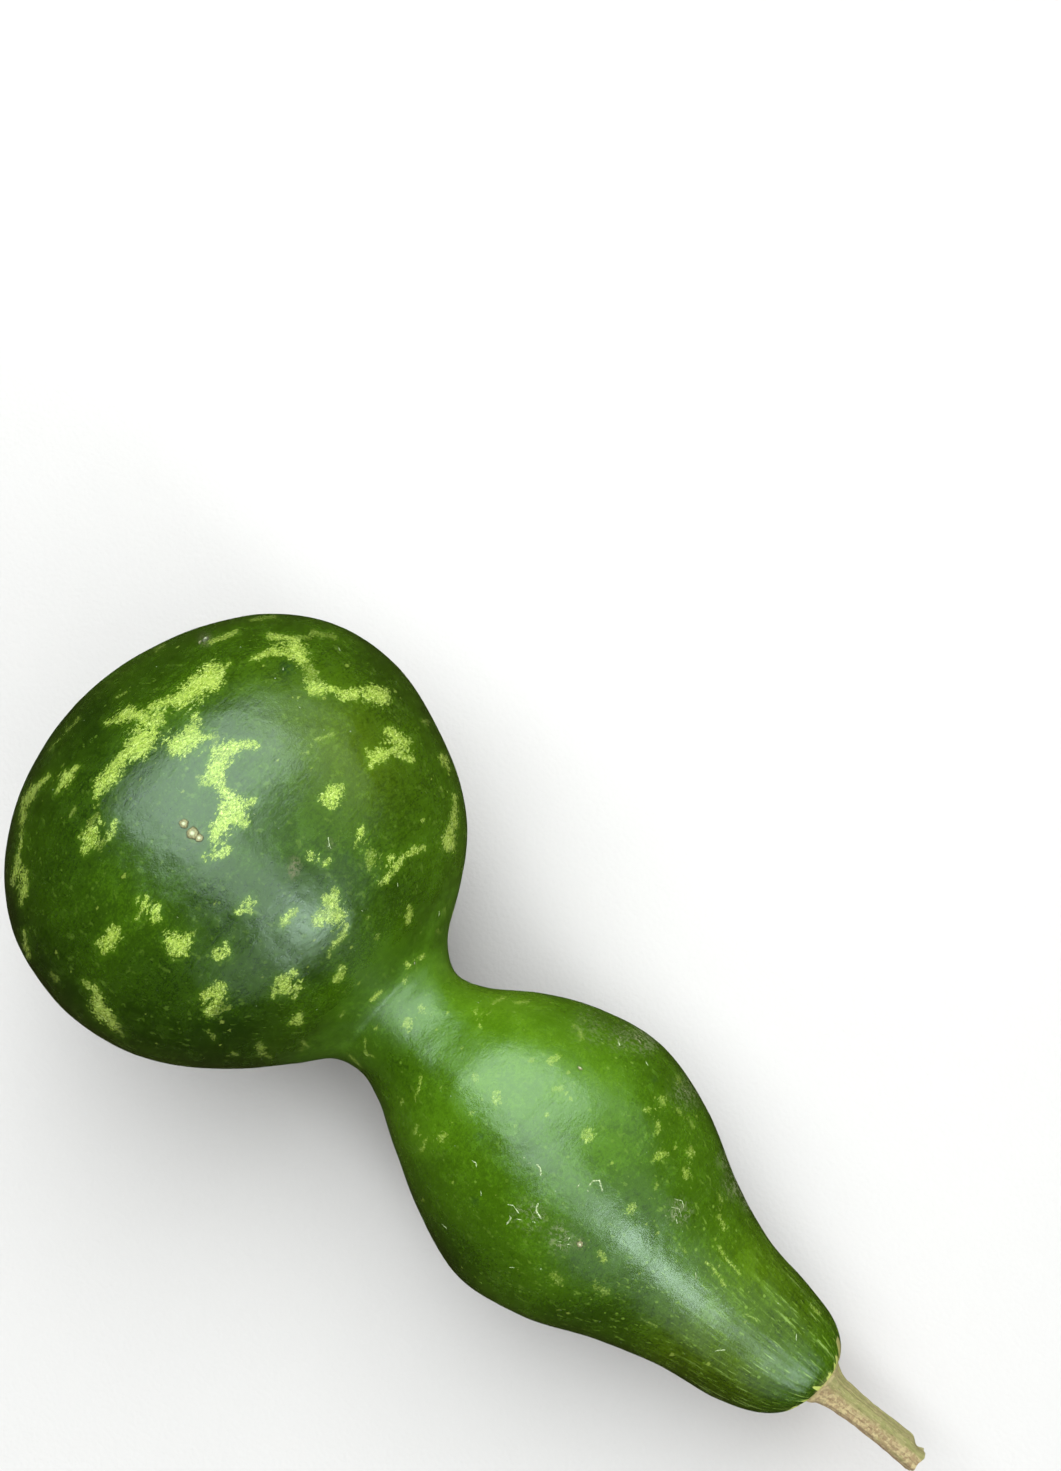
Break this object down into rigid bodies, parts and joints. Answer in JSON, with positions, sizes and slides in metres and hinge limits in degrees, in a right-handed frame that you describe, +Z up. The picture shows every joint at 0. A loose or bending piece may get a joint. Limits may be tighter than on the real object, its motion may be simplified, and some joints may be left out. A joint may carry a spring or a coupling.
{
  "type": "bottle gourd",
  "caption": "Fresh green bottle gourd lying on its side: a large round bulb, a narrow waist, a smaller pear-shaped bulb and a short cut stem, its dark skin blotched pale green.",
  "frame": {"origin": "at the bottom, in the middle of the whole gourd's box, on the surface it lies on", "axes": "+X runs along the gourd from the big bulb's blossom end to the cut stem, +Y is sideways, +Z is up"},
  "size_m": [0.2826, 0.1181, 0.1146],
  "materials": {
    "gourd_skin": "hard waxy rind, deep green with ragged pale yellow-green blotches and flecks, a soft satin bloom over it",
    "dry_stem": "dry ribbed stem, tan to yellow-green, dull and slightly fuzzy, rough at the cut end"
  },
  "bodies": {
    "root": {"gourd_fruit": "gourd_skin", "fruit_stem": "dry_stem"}
  },
  "joints": []
}
